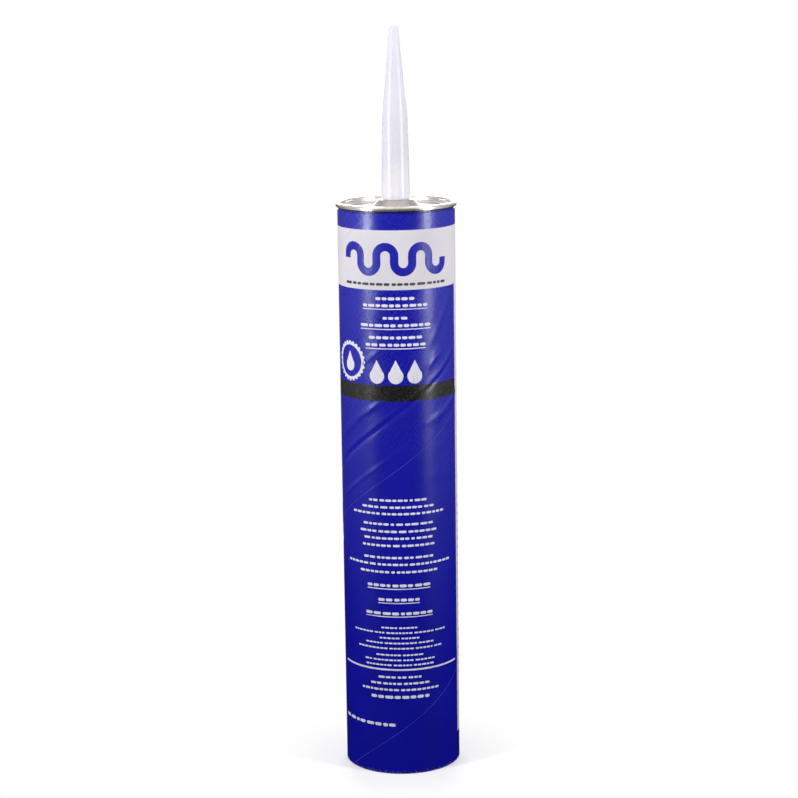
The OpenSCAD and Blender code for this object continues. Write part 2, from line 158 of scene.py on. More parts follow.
class Graph:
    """Makes nodes in a shader tree, sets them and feeds their sockets."""

    def __init__(self, tree: bpy.types.NodeTree) -> None:
        """Keeps the tree that the nodes go into."""
        self.tree = tree

    @classmethod
    def of(cls, owner: Material | bpy.types.World) -> "Graph":
        """Starts the graph of a material or a world.

        Args:
            owner: The material or the world.

        Returns:
            Its graph, still without nodes.
        """
        owner.use_nodes = True
        owner.node_tree.nodes.clear()
        return cls(owner.node_tree)

    def feed(self, node: bpy.types.Node, feeds: Feeds) -> None:
        """Feeds a node's inputs.

        Args:
            node: The node.
            feeds: What each input takes: another node's socket or a plain value.
        """
        for name, value in feeds.items():
            if isinstance(value, Socket):
                self.tree.links.new(value, node.inputs[name])
            else:
                node.inputs[name].default_value = value

    def node(self, kind: str, feeds: Feeds | None = None, **settings: object) -> bpy.types.Node:
        """Adds a node.

        Args:
            kind: The node's type.
            feeds: What each input takes: another node's socket or a plain value.
            settings: The node's own properties.

        Returns:
            The new node.
        """
        made = self.tree.nodes.new(kind)
        for name, value in settings.items():
            setattr(made, name, value)
        self.feed(made, feeds or {})
        return made

    def calc(self, operation: str, *values: object) -> Socket:
        """Result of a Math node's operation over sockets or numbers."""
        return self.node("ShaderNodeMath", dict(enumerate(values)), operation=operation).outputs[0]

    def scaled(self, value: Socket, factor: object, plus: object = 0.0) -> Socket:
        """A value times a factor, plus another value."""
        return self.calc("MULTIPLY_ADD", value, factor, plus)

    def blend(self, share: object, first: object, second: object) -> Socket:
        """Colour that goes from the first to the second as share goes from 0 to 1."""
        feeds = {0: share, 6: first, 7: second}
        return self.node("ShaderNodeMix", feeds, data_type="RGBA").outputs[2]

    def spread(self, value: object, low: object, high: object, to_low: float = 0.0,
               to_high: float = 1.0) -> Socket:
        """Smooth remap of a value from low..high to to_low..to_high."""
        feeds = {"Value": value, "From Min": low, "From Max": high, "To Min": to_low, "To Max": to_high}
        return self.node("ShaderNodeMapRange", feeds, interpolation_type="SMOOTHSTEP").outputs[0]

    def noise(self, where: Socket, scale: object, detail: float) -> Socket:
        """Cloud noise at a place, about 0.3 to 0.7."""
        feeds = {"Vector": where, "Scale": scale, "Detail": detail}
        return self.node("ShaderNodeTexNoise", feeds).outputs[0]

    def parts(self, vector: Socket) -> list[Socket]:
        """The X, Y and Z of a vector."""
        return list(self.node("ShaderNodeSeparateXYZ", {0: vector}).outputs)

    def reach(self, where: Socket) -> Socket:
        """Distance of a place from the barrel's axis."""
        across, deep, _ = self.parts(where)
        return self.calc("SQRT", self.scaled(across, across, self.scaled(deep, deep)))


class Effect:
    """A shader node group over a place and some numbers, which several finishes share."""

    def __init__(self, name: str, *numbers: str) -> None:
        """Makes the empty group.

        Args:
            name: The group's name.
            numbers: The names of the numbers that it takes besides the place.
        """
        self.tree = bpy.data.node_groups.new(name, "ShaderNodeTree")
        add = self.tree.interface.new_socket
        add("Vector", in_out="INPUT", socket_type="NodeSocketVector")
        for label in numbers:
            add(label, in_out="INPUT", socket_type="NodeSocketFloat")
        add("Value", in_out="OUTPUT", socket_type="NodeSocketFloat")
        self.graph = Graph(self.tree)
        self.given = self.graph.node("NodeGroupInput").outputs

    def give(self, value: Socket) -> None:
        """Makes a value the group's output."""
        self.graph.node("NodeGroupOutput", {"Value": value})

    def use(self, graph: Graph, where: Socket, **numbers: object) -> Socket:
        """Places the group in a material.

        Args:
            graph: The material's graph.
            where: The place.
            numbers: The numbers that the group takes.

        Returns:
            The socket of its value.
        """
        return graph.node("ShaderNodeGroup", {"Vector": where, **numbers}, node_tree=self.tree).outputs[0]


class Effects:
    """The effects that the finishes share, each built once."""

    cloud_span: tuple[float, float] = (0.3, 0.7)
    stroke_full: float = 0.8
    wear_span: tuple[float, float] = (0.42, 0.58)
    wear_falls: float = 0.35
    line_span: tuple[float, float] = (0.3, 1.0)

    def __init__(self) -> None:
        """Builds the groups."""
        self.strokes = self._strokes()
        self.mottle = self._mottle()
        self.worn_edge = self._worn_edge()
        self.winding = self._winding()

    def _strokes(self) -> Effect:
        """Builds short parallel strokes, such as scuffs or fibres.

        Returns:
            The effect, over their angle, their number in a metre along and across, and how
            full they lie.
        """
        made = Effect("strokes", "Angle", "Along", "Across", "Fill")
        g, given = made.graph, made.given
        turned = g.node("ShaderNodeVectorRotate", {"Vector": given["Vector"], "Angle": given["Angle"]},
                        rotation_type="Z_AXIS")
        sizes = g.node("ShaderNodeCombineXYZ", {"X": given["Along"], "Y": given["Across"], "Z": 1.0})
        stretched = g.node("ShaderNodeVectorMath", {0: turned.outputs[0], 1: sizes.outputs[0]},
                           operation="MULTIPLY")
        cloud = g.noise(stretched.outputs[0], scale=1.0, detail=2.5)
        made.give(g.spread(cloud, g.calc("SUBTRACT", 1.0, given["Fill"]), self.stroke_full))
        return made

    def _mottle(self) -> Effect:
        """Builds a soft cloudy change between two values.

        Returns:
            The effect, over the clouds' number in a metre and both values.
        """
        made = Effect("mottle", "Scale", "Low", "High")
        g, given = made.graph, made.given
        least, most = self.cloud_span
        cloud = g.noise(given["Vector"], given["Scale"], detail=4.0)
        made.give(g.node("ShaderNodeMapRange", {
            "Value": cloud, "From Min": least, "From Max": most,
            "To Min": given["Low"], "To Max": given["High"]}).outputs[0])
        return made

    def _worn_edge(self) -> Effect:
        """Builds ragged wear that reaches up from a level edge.

        Returns:
            The effect, over the edge's height, the wear's reach and its grain.
        """
        made = Effect("worn_edge", "Edge", "Reach", "Grain")
        g, given = made.graph, made.given
        over = g.calc("SUBTRACT", g.parts(given["Vector"])[2], given["Edge"])
        away = g.calc("DIVIDE", over, given["Reach"])
        cloud = g.noise(given["Vector"], given["Grain"], detail=5.0)
        ragged = g.scaled(away, -self.wear_falls, cloud)
        made.give(g.spread(ragged, *self.wear_span))
        return made

    def _winding(self) -> Effect:
        """Builds a thin line along a spiral round the axis, as between the turns of a wound tube.

        Returns:
            The effect, over the spiral's pitch, its height in front and the line's width.
        """
        made = Effect("winding_line", "Pitch", "Start", "Width")
        g, given = made.graph, made.given
        across, deep, height = g.parts(given["Vector"])
        turn = g.calc("ARCTAN2", across, g.scaled(deep, -1.0))
        climb = g.scaled(g.calc("DIVIDE", turn, math.tau), given["Pitch"])
        offset = g.calc("SUBTRACT", g.calc("SUBTRACT", height, given["Start"]), climb)
        away = g.calc("PINGPONG", offset, g.scaled(given["Pitch"], 0.5))
        share = g.calc("DIVIDE", away, given["Width"])
        made.give(g.calc("SUBTRACT", 1.0, g.spread(share, *self.line_span)))
        return made


@dataclass(frozen=True)
class Strokes:
    """Parallel strokes: their angle, their number in a metre each way, how full they lie."""

    angle: float
    along: float
    across: float
    fill: float


class Coat:
    """A material in the making, with its Principled shader and the place on the object."""

    def __init__(self, name: str, effects: Effects) -> None:
        """Starts the material.

        Args:
            name: Its name.
            effects: The effects that finishes share.
        """
        self.material = bpy.data.materials.new(name)
        self.effects = effects
        self.graph = Graph.of(self.material)
        self.shader = self.graph.node("ShaderNodeBsdfPrincipled")
        self.graph.node("ShaderNodeOutputMaterial", {"Surface": self.shader.outputs[0]})
        self.solid = self.graph.node("ShaderNodeTexCoord").outputs["Object"]

    def clouds(self, scale: float, low: float = 0.0, high: float = 1.0,
               where: Socket | None = None) -> Socket:
        """Lays soft clouds.

        Args:
            scale: Their number in a metre.
            low: The value between them.
            high: The value inside them.
            where: The place, if it isn't the one on the object.

        Returns:
            The value's socket.
        """
        spot = self.solid if where is None else where
        return self.effects.mottle.use(self.graph, spot, Scale=scale, Low=low, High=high)

    def strokes(self, where: Socket, kind: Strokes) -> Socket:
        """Lays strokes.

        Args:
            where: The place.
            kind: Their angle and sizes.

        Returns:
            The value's socket, 1 inside a stroke.
        """
        return self.effects.strokes.use(self.graph, where, Angle=kind.angle, Along=kind.along,
                                        Across=kind.across, Fill=kind.fill)

    def bump(self, height: Socket, depth: float, under: Socket | None = None) -> Socket:
        """Lays a relief.

        Args:
            height: The relief, about 0 to 1.
            depth: The depth of the relief in metres.
            under: The normal that it is laid on, if there is one.

        Returns:
            The socket of its normal.
        """
        feeds: Feeds = {"Strength": 1.0, "Distance": depth, "Height": height}
        if under is not None:
            feeds["Normal"] = under
        return self.graph.node("ShaderNodeBump", feeds).outputs[0]

    def done(self, feeds: Feeds) -> Material:
        """Ends the material.

        Args:
            feeds: What each input of its shader takes.

        Returns:
            The material.
        """
        self.graph.feed(self.shader, feeds)
        return self.material


@dataclass(frozen=True)
class PaperFinish:
    """Varnished, printed paper: an ink colour, fine crossing scuffs, a worn bottom edge and painted shadow
    under the rim.
    """

    name: str
    colour: Colour
    deep: Colour
    worn: Colour
    edge: float
    rim: float
    grain: float = 2600.0
    roughness: float = 0.25
    gloss: float = 0.8
    scuff: float = 0.04 * MM
    speckle: float = 0.0
    grit: tuple[float, float] = (0.55, 0.95)
    rising: Strokes = Strokes(math.radians(-54), 150.0, 1700.0, 0.72)
    falling: Strokes = Strokes(math.radians(48), 190.0, 1500.0, 0.6)
    falling_share: float = 0.75
    scuff_dulls: float = 0.09
    handled: tuple[float, float] = (120 * MM, 260 * MM)
    untouched: float = 0.08
    patches: float = 75.0
    patch_low: float = 0.15
    fuzz: float = 0.0012 * MM
    cockles: float = 38.0
    cockle: float = 0.06 * MM
    wear_reach: float = 3.2 * MM
    wear_grain: float = 900.0
    wear_dulls: float = 0.3
    # Painted shadow under the rolled rim: it fades in between these two depths below the rim, in this dark
    # colour
    rim_shadow_band: tuple[float, float] = (1.0 * MM, 0.6 * MM)
    rim_shadow_colour: Colour = (9, 9, 20)

    def build(self, effects: Effects) -> Material:
        """Makes the material.

        Args:
            effects: The effects that finishes share.

        Returns:
            The material.
        """
        coat = Coat(self.name, effects)
        g = coat.graph
        wound = g.node("ShaderNodeUVMap", uv_map=UV_NAME).outputs[0]
        level = g.parts(coat.solid)[2]
        fibre, cloud = coat.clouds(self.grain), coat.clouds(self.cockles)
        wear = effects.worn_edge.use(g, coat.solid, Edge=self.edge, Reach=self.wear_reach,
                                     Grain=self.wear_grain)
        handled = g.scaled(coat.clouds(self.patches, self.patch_low),
                           g.spread(level, *self.handled, self.untouched, 1.0))
        crossed = g.scaled(coat.strokes(wound, self.falling), self.falling_share,
                           coat.strokes(wound, self.rising))
        hatch = g.scaled(crossed, handled)
        ink = g.blend(cloud, linear(self.colour), linear(self.deep))
        if self.speckle:
            ink = g.blend(g.scaled(g.spread(fibre, *self.grit), self.speckle), ink, linear(self.worn))
        # Painted shadow: the paper is coloured dark just under the rolled rim, where the rim's shade falls
        rim_shadow = g.spread(level, *(self.rim - down for down in self.rim_shadow_band))
        ink = g.blend(rim_shadow, ink, linear(self.rim_shadow_colour))
        scuffed = g.scaled(hatch, self.scuff_dulls, self.roughness)
        cockled = coat.bump(cloud, self.cockle, coat.bump(fibre, self.fuzz))
        return coat.done({
            "Base Color": g.blend(wear, ink, linear(self.worn)),
            "Roughness": g.scaled(wear, self.wear_dulls, scuffed),
            "Specular IOR Level": self.gloss,
            "Normal": coat.bump(hatch, self.scuff, cockled),
        })


@dataclass(frozen=True)
class TinFinish:
    """Bright rolled tinplate with faint draw marks round the axis and a duller boss."""

    name: str = "rolled_tinplate"
    colour: Colour = (226, 221, 218)
    stain: Colour = (200, 193, 188)
    stains: float = 210.0
    stain_share: float = 0.8
    roughness: float = 0.17
    metal: float = 0.94
    grain: float = 1900.0
    grain_dulls: float = 0.1
    draw_marks: float = 1500.0
    draw_depth: float = 0.004 * MM
    dent: float = 0.012 * MM
    dull: Colour = (158, 150, 143)
    dull_reach: tuple[float, float] = (12.4 * MM, 13.4 * MM)
    boss_dulls: float = 0.14
    boss_patches: tuple[float, float] = (0.4, 0.6)

    def build(self, effects: Effects) -> Material:
        """Makes the material.

        Args:
            effects: The effects that finishes share.

        Returns:
            The material.
        """
        coat = Coat(self.name, effects)
        g = coat.graph
        cloud, fine = coat.clouds(self.stains, high=self.stain_share), coat.clouds(self.grain)
        reach = g.reach(coat.solid)
        section = g.node("ShaderNodeCombineXYZ", {"X": reach, "Y": g.parts(coat.solid)[2], "Z": 0.0})
        rings = coat.clouds(self.draw_marks, where=section.outputs[0])
        boss = g.spread(reach, *self.dull_reach, 1.0, 0.0)
        bright = g.blend(cloud, linear(self.colour), linear(self.stain))
        satin = g.scaled(fine, self.grain_dulls, self.roughness)
        dulled = g.scaled(boss, g.scaled(fine, *self.boss_patches))
        return coat.done({
            "Base Color": g.blend(dulled, bright, linear(self.dull)),
            "Metallic": self.metal,
            "Roughness": g.scaled(boss, self.boss_dulls, satin),
            "Normal": coat.bump(cloud, self.dent, coat.bump(rings, self.draw_depth)),
        })


@dataclass(frozen=True)
class MilkyFinish:
    """Moulded polyethylene that light goes a little way into."""

    name: str
    colour: Colour
    shade: Colour
    shades: float = 90.0
    shade_share: float = 0.7
    depth: float = 2.0 * MM
    glow: float = 0.35
    radii: tuple[float, float, float] = (1.0, 0.95, 1.05)
    index: float = 1.5
    roughness: float = 0.34
    skin_grain: float = 1400.0
    skin_dulls: float = 0.08
    skin_depth: float = 0.0015 * MM
    flow_lines: float = 420.0
    flow_stretch: tuple[float, float, float] = (1.0, 1.0, 0.12)
    flow: float = 0.02 * MM

    def build(self, effects: Effects) -> Material:
        """Makes the material.

        Args:
            effects: The effects that finishes share.

        Returns:
            The material.
        """
        coat = Coat(self.name, effects)
        g = coat.graph
        cloud, skin = coat.clouds(self.shades, high=self.shade_share), coat.clouds(self.skin_grain)
        drawn = g.node("ShaderNodeVectorMath", {0: coat.solid, 1: self.flow_stretch}, operation="MULTIPLY")
        flow = coat.clouds(self.flow_lines, where=drawn.outputs[0])
        return coat.done({
            "Base Color": g.blend(cloud, linear(self.colour), linear(self.shade)),
            "Roughness": g.scaled(skin, self.skin_dulls, self.roughness),
            "Subsurface Weight": self.glow,
            "Subsurface Radius": self.radii,
            "Subsurface Scale": self.depth,
            "IOR": self.index,
            "Normal": coat.bump(flow, self.flow, coat.bump(skin, self.skin_depth)),
        })


@dataclass(frozen=True)
class BoardFinish:
    """Wound kraft board: brown fibres, plies at the cut edge and the lines between turns."""

    name: str = "wound_board"
    colour: Colour = (178, 146, 108)
    dark: Colour = (128, 98, 68)
    tones: float = 120.0
    dark_share: float = 0.8
    fleck: Colour = (206, 180, 140)
    fleck_share: float = 0.35
    fibres: Strokes = Strokes(0.4, 900.0, 3200.0, 0.6)
    fuzz: float = 0.02 * MM
    line: Colour = (84, 62, 42)
    line_share: float = 0.7
    line_width: float = 0.7 * MM
    line_depth: float = 0.08 * MM
    pitch: float = 153.5 * MM
    start: float = 70.0 * MM
    ply: float = 0.35 * MM
    ply_line: tuple[float, float] = (0.05, 0.4)
    cut_facing: tuple[float, float] = (0.6, 0.9)
    roughness: float = 0.62
    dark_dulls: float = 0.1

    def build(self, effects: Effects) -> Material:
        """Makes the material.

        Args:
            effects: The effects that finishes share.

        Returns:
            The material.
        """
        coat = Coat(self.name, effects)
        g = coat.graph
        plies = g.calc("PINGPONG", g.reach(coat.solid), self.ply / 2)
        ply_share = g.calc("DIVIDE", plies, self.ply / 2)
        between = g.calc("SUBTRACT", 1.0, g.spread(ply_share, *self.ply_line))
        facing = g.parts(g.node("ShaderNodeNewGeometry").outputs["Normal"])[2]
        cut_face = g.spread(g.calc("ABSOLUTE", facing), *self.cut_facing)
        line = effects.winding.use(g, coat.solid, Pitch=self.pitch, Start=self.start, Width=self.line_width)
        marks = g.calc("MAXIMUM", g.scaled(between, cut_face), line)
        cloud = coat.clouds(self.tones, high=self.dark_share)
        fibre = coat.strokes(coat.solid, self.fibres)
        brown = g.blend(cloud, linear(self.colour), linear(self.dark))
        flecked = g.blend(g.scaled(fibre, self.fleck_share), brown, linear(self.fleck))
        relief = g.calc("SUBTRACT", 1.0, marks)
        return coat.done({
            "Base Color": g.blend(g.scaled(marks, self.line_share), flecked, linear(self.line)),
            "Roughness": g.scaled(cloud, self.dark_dulls, self.roughness),
            "Normal": coat.bump(relief, self.line_depth, coat.bump(fibre, self.fuzz)),
        })


@dataclass(frozen=True)
class PlainFinish:
    """Two close tones over one soft relief, such as a stiff paste or a crinkled foil."""

    name: str
    colour: Colour
    dark: Colour
    scale: float
    relief: float
    roughness: float
    metal: float = 0.0
    dark_dulls: float = 0.15

    def build(self, effects: Effects) -> Material:
        """Makes the material.

        Args:
            effects: The effects that finishes share.

        Returns:
            The material.
        """
        coat = Coat(self.name, effects)
        g = coat.graph
        lumps = coat.clouds(self.scale)
        return coat.done({
            "Base Color": g.blend(lumps, linear(self.colour), linear(self.dark)),
            "Metallic": self.metal,
            "Roughness": g.scaled(lumps, self.dark_dulls, self.roughness),
            "Normal": coat.bump(lumps, self.relief),
        })


@dataclass(frozen=True)
class Fold:
    """A soft ridge or groove pressed into the paper, as a stroke laid on the barrel."""

    turn: float
    height: float
    run: float
    width: float
    rise: float
    slope: float

    def lift(self, turn: float, height: float, radius: float) -> float:
        """How far the fold lifts the paper at a place.

        Args:
            turn: Turn of the place in degrees.
            height: Height of the place.
            radius: Radius of the barrel.

        Returns:
            The lift in metres, negative in a groove.
        """
        round_arc = math.radians(turn - self.turn) * radius
        up = height - self.height
        lean = math.radians(self.slope)
        across = up * math.cos(lean) - round_arc * math.sin(lean)
        if abs(across) > self.width * FOLD_REACH:
            return 0.0
        along = abs(round_arc * math.cos(lean) + up * math.sin(lean))
        taper = 1 - soft_step(along / (self.run * FOLD_TAPER) - 1)
        return self.rise * taper * math.exp(-((across / self.width) ** 2))


class Print(Enum):
    """Fields of print, each with the solid that it stands for, and the lap's raw edge."""

    BLUE = "printed_wrap"
    WHITE_BAND = "white_band"
    BLACK_STRIPE = "black_stripe"
    BACK_PANEL = "back_panel"
    LAP_EDGE = "lap_edge"


@dataclass
class PaperWrap:
    """The printed paper, wound round the board in a spiral whose turns lap."""

    radius: float
    low: float
    top: float
    band: tuple[float, float]
    stripe: tuple[float, float]
    panel_low: float
    panel_turns: tuple[float, float]
    rim_low: float
    pitch: float = 153.5 * MM
    seam_height: float = 26.5 * MM
    lap: float = 10.5 * MM
    lap_ramp: float = 1.2 * MM
    lap_step: float = 0.07 * MM
    edge_width: float = 0.3 * MM
    edge_slack: float = 1.1
    thickness: float = 0.25 * MM
    groove_depth: float = 0.4 * MM
    groove_height: float = 1.2 * MM
    groove_ramp: float = 0.2 * MM
    steps_a_turn: int = 144
    strip_cuts: int = 110
    seam_slack: float = 1e-4
    lap_cuts: int = 7
    overrun: float = 0.02
    unevenness: float = 0.022 * MM
    waves: tuple[float, float] = (65.0, 170.0)
    ragged: float = 0.12 * MM
    ragged_grain: float = 700.0
    folds: list[Fold] = field(default_factory=list)

    def __post_init__(self) -> None:
        """Lays the folds of the photograph: turn, four sizes in millimetres, slope."""
        climb = math.degrees(math.atan(self.pitch / (math.tau * self.radius)))
        folds = [
            (-8, 207.9, 130, 1.1, -0.24, climb + 1), (-6, 211.2, 120, 1.3, 0.1, climb + 1),
            (-42, 171.9, 72, 0.7, 0.12, climb), (38, 240.5, 15, 0.9, 0.2, 38),
            (34.4, 206.9, 19, 1.1, 0.2, 31), (-30, 212.8, 24, 1.0, 0.2, 34),
            (32.7, 238, 26, 1.5, 0.16, 58), (54.6, 238.8, 36, 1.4, 0.18, 41),
            (-26.8, 243, 19, 1.1, 0.14, 37), (46, 262, 38, 1.8, 0.15, 60),
            (60, 214, 44, 1.6, 0.16, 33), (-48, 205, 46, 2.2, 0.1, climb),
            (118, 180, 60, 1.5, 0.18, climb), (-118, 120, 70, 1.3, -0.18, climb),
            (168, 90, 45, 1.6, 0.16, climb + 8), (-150, 245, 55, 1.4, 0.16, climb - 5),
        ]
        self.folds = [Fold(turn, *(s * MM for s in sizes), slope) for turn, *sizes, slope in folds]

    @classmethod
    def from_frame(cls) -> "PaperWrap":
        """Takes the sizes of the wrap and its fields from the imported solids.

        Returns:
            The wrap.
        """
        wrap_low, wrap_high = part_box("printed_wrap")
        band_low, band_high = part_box("white_band")
        stripe_low, stripe_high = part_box("black_stripe")
        panel = [turn_of(v.co) % FULL_TURN for v in frame["nodes"]["back_panel"].data.vertices]
        rim = [v.co.z for v in frame["nodes"]["top_end"].data.vertices
               if v.co.xy.length > wrap_high.x + RIM_STANDS]
        return cls(
            radius=wrap_high.x, low=wrap_low.z, top=wrap_high.z,
            band=(band_low.z, band_high.z), stripe=(stripe_low.z, stripe_high.z),
            panel_low=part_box("back_panel")[0].z, panel_turns=(min(panel), max(panel)),
            rim_low=min(rim),
        )

    def over_seam(self, turn: float, height: float) -> tuple[int, float]:
        """Which turn of the strip a place is on, and how far it lies above that turn's seam.

        Args:
            turn: Turn of the place, from -180 to 180 degrees.
            height: Height of the place.

        Returns:
            The turn's number and the height over its seam.
        """
        above = height - self.seam_height - self.pitch * turn / FULL_TURN
        number = math.floor(above / self.pitch + self.seam_slack)
        return number, above - number * self.pitch

    def relief(self, turn: float, height: float) -> float:
        """Lift of the paper by folds, unevenness and the groove under the rim.

        Args:
            turn: Turn of the place in degrees.
            height: Height of the place.

        Returns:
            The lift in metres.
        """
        lift = sum(f.lift(turn, height, self.radius) for f in self.folds)
        spot = place(turn, self.radius, height)
        coarse, fine = (noise.noise(spot * scale) for scale in self.waves)
        lift += self.unevenness * (coarse + fine / 2)
        groove_low = self.rim_low - self.groove_height
        loose = 1 - soft_step((height - groove_low) / self.groove_height + 1)
        into = min(height - groove_low, self.rim_low - height) / self.groove_ramp
        return lift * loose - self.groove_depth * min(1.0, max(0.0, into))

    def lap_lift(self, turn: float, height: float) -> float:
        """Lift of the paper where one turn laps over the next."""
        above = self.over_seam(turn, height)[1]
        return self.lap_step * min(1.0, max(0.0, (self.lap + self.lap_ramp - above) / self.lap_ramp))

    def _strip(self) -> BMesh:
        """Winds the section of one turn of the strip up and round the barrel.

        Returns:
            The wound strip, past the barrel at both ends.
        """
        bm = bmesh.new()
        bottom = self.low - self.pitch * (1 + self.overrun)
        start = (bottom - self.seam_height + 2 * self.pitch) / self.pitch * FULL_TURN
        corners = [
            (self.radius, 0.0), (self.radius + self.lap_step, 0.0),
            (self.radius + self.lap_step, self.edge_width),
            (self.radius + self.lap_step, self.lap), (self.radius, self.lap + self.lap_ramp),
            (self.radius, self.pitch),
        ]
        verts = [bm.verts.new(place(start, reach, bottom + up)) for reach, up in corners]
        edges = [bm.edges.new(pair) for pair in zip(verts, verts[1:])]
        bmesh.ops.subdivide_edges(bm, edges=[edges[2]], cuts=self.lap_cuts)
        bmesh.ops.subdivide_edges(bm, edges=[edges[4]], cuts=self.strip_cuts)
        turns = (self.top - bottom + self.pitch * self.overrun) / self.pitch
        steps = math.ceil(turns * self.steps_a_turn)
        bmesh.ops.spin(
            bm, geom=bm.verts[:] + bm.edges[:], cent=(0, 0, 0), axis=(0, 0, 1),
            dvec=(0, 0, self.pitch / self.steps_a_turn),
            angle=math.tau * steps / self.steps_a_turn, steps=steps, use_merge=False,
        )
        bmesh.ops.remove_doubles(bm, verts=bm.verts[:], dist=MERGE)
        return bm

    def _sheet(self) -> BMesh:
        """Trims the strip to the barrel, cuts it along the fields and lifts it.

        Returns:
            The whole paper, as an open sheet.
        """
        bm = self._strip()
        cut(bm, level_plane(self.low), below=True)
        cut(bm, level_plane(self.top), above=True)
        groove_low = self.rim_low - self.groove_height
        for height in (*self.band, *self.stripe, self.panel_low, groove_low, self.rim_low,
                       groove_low + self.groove_ramp, self.rim_low - self.groove_ramp):
            cut(bm, level_plane(height))
        for turn in self.panel_turns:
            cut(bm, axial_plane(turn))
        if bm.faces[:][0].normal.dot(bm.faces[:][0].calc_center_median() * Vector((1, 1, 0))) < 0:
            bmesh.ops.reverse_faces(bm, faces=bm.faces[:])
        for vert in bm.verts:
            turn, height = turn_of(vert.co), vert.co.z
            reach = vert.co.xy.length
            vert.co = place(turn, reach + self.relief(turn, height), height)
            if height < self.low + MERGE:
                vert.co.z += self.ragged * abs(noise.noise(vert.co * self.ragged_grain))
        return bm

    def _thicken(self, bm: BMesh) -> None:
        """Closes an open field into a shell, its inner side straight towards the axis.

        Args:
            bm: The field's faces.
        """
        made = bmesh.ops.extrude_face_region(bm, geom=bm.faces[:], use_keep_orig=True)
        for vert in made["geom"]:
            if isinstance(vert, bmesh.types.BMVert):
                vert.co = place(turn_of(vert.co), vert.co.xy.length - self.thickness, vert.co.z)
        bmesh.ops.recalc_face_normals(bm, faces=bm.faces[:])

    def field_of(self, centre: Vector) -> Print:
        """Finds the field of print that a face is in.

        Args:
            centre: The face's middle.

        Returns:
            The field.
        """
        turn, height = turn_of(centre), centre.z
        on_panel = self.panel_turns[0] < turn % FULL_TURN < self.panel_turns[1]
        if self.band[0] < height < self.band[1]:
            return Print.WHITE_BAND
        if on_panel and self.panel_low < height < self.band[0]:
            return Print.BACK_PANEL
        if self.over_seam(turn, height)[1] < self.edge_width * self.edge_slack:
            return Print.LAP_EDGE
        return Print.BLACK_STRIPE if self.stripe[0] < height < self.stripe[1] else Print.BLUE

    def lay_uv(self, bm: BMesh) -> None:
        """Gives each face its place on the unrolled strip, in metres round and up the barrel.

        Args:
            bm: The mesh.
        """
        layer = bm.loops.layers.uv.new(UV_NAME)
        for face in bm.faces:
            centre = face.calc_center_median()
            middle = turn_of(centre)
            number = self.over_seam(middle, centre.z)[0]
            for loop in face.loops:
                turn = turn_of(loop.vert.co)
                turn += FULL_TURN * round((middle - turn) / FULL_TURN)
                loop[layer].uv = (
                    math.radians(turn + FULL_TURN * number) * self.radius, loop.vert.co.z)

    def build(self, inks: dict[Print, tuple[Material, str]]) -> None:
        """Makes one closed thin shell for each field of print.

        Args:
            inks: The material of each field and its slot in the record.
        """
        sheet = self._sheet()
        for kind in Print:
            bm = sheet.copy()
            bm.faces.ensure_lookup_table()
            strays = [f for f in bm.faces if self.field_of(f.calc_center_median()) is not kind]
            bmesh.ops.delete(bm, geom=strays, context="FACES")
            self._thicken(bm)
            self.lay_uv(bm)
            piece = finish_piece(f"paper_{kind.name.lower()}", bm, *inks[kind])
            if kind is not Print.LAP_EDGE:
                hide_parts(kind.value)
        sheet.free()


def finish_piece(name: str, bm: BMesh, material: Material, slot: str) -> bpy.types.Object:
    """Turns a bmesh into a piece that rides on the cartridge.

    Args:
        name: The piece's name.
        bm: Its mesh, which is freed.
        material: Its material.
        slot: The record's material slot; not used.

    Returns:
        The piece.
    """
    mesh = bpy.data.meshes.new(name)
    bm.to_mesh(mesh)
    bm.free()
    mesh.shade_smooth()
    mesh.set_sharp_from_angle(angle=SHARP)
    mesh.materials.append(material)
    piece = bpy.data.objects.new(name, mesh)
    bpy.context.scene.collection.objects.link(piece)
    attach(piece, BODY)
    LOG.info("%s: %d faces", name, len(mesh.polygons))
    return piece


@dataclass
class Mark:
    """One printed mark: its vertices, and its least and greatest turn, height and reach."""

    verts: list[bmesh.types.BMVert]
    turns: tuple[float, float] = field(init=False)
    heights: tuple[float, float] = field(init=False)
    reaches: tuple[float, float] = field(init=False)

    def __post_init__(self) -> None:
        """Measures the mark."""
        middle = turn_of(self.verts[0].co)
        turns = []
        for vert in self.verts:
            turn = turn_of(vert.co)
            turns.append(turn + FULL_TURN * round((middle - turn) / FULL_TURN))
        heights = [v.co.z for v in self.verts]
        reaches = [v.co.xy.length for v in self.verts]
        self.turns = (min(turns), max(turns))
        self.heights = (min(heights), max(heights))
        self.reaches = (min(reaches), max(reaches))

    @property
    def height(self) -> float:
        """Height of the mark."""
        return self.heights[1] - self.heights[0]

    @property
    def arc(self) -> float:
        """Width of the mark, measured round the barrel."""
        return math.radians(self.turns[1] - self.turns[0]) * self.reaches[0]

    def is_word(self) -> bool:
        """Whether it is a bar that stands for a word, and no line or figure."""
        return WORD_HEIGHTS[0] < self.height < WORD_HEIGHTS[1] and self.arc > self.height * WORD_LENGTH


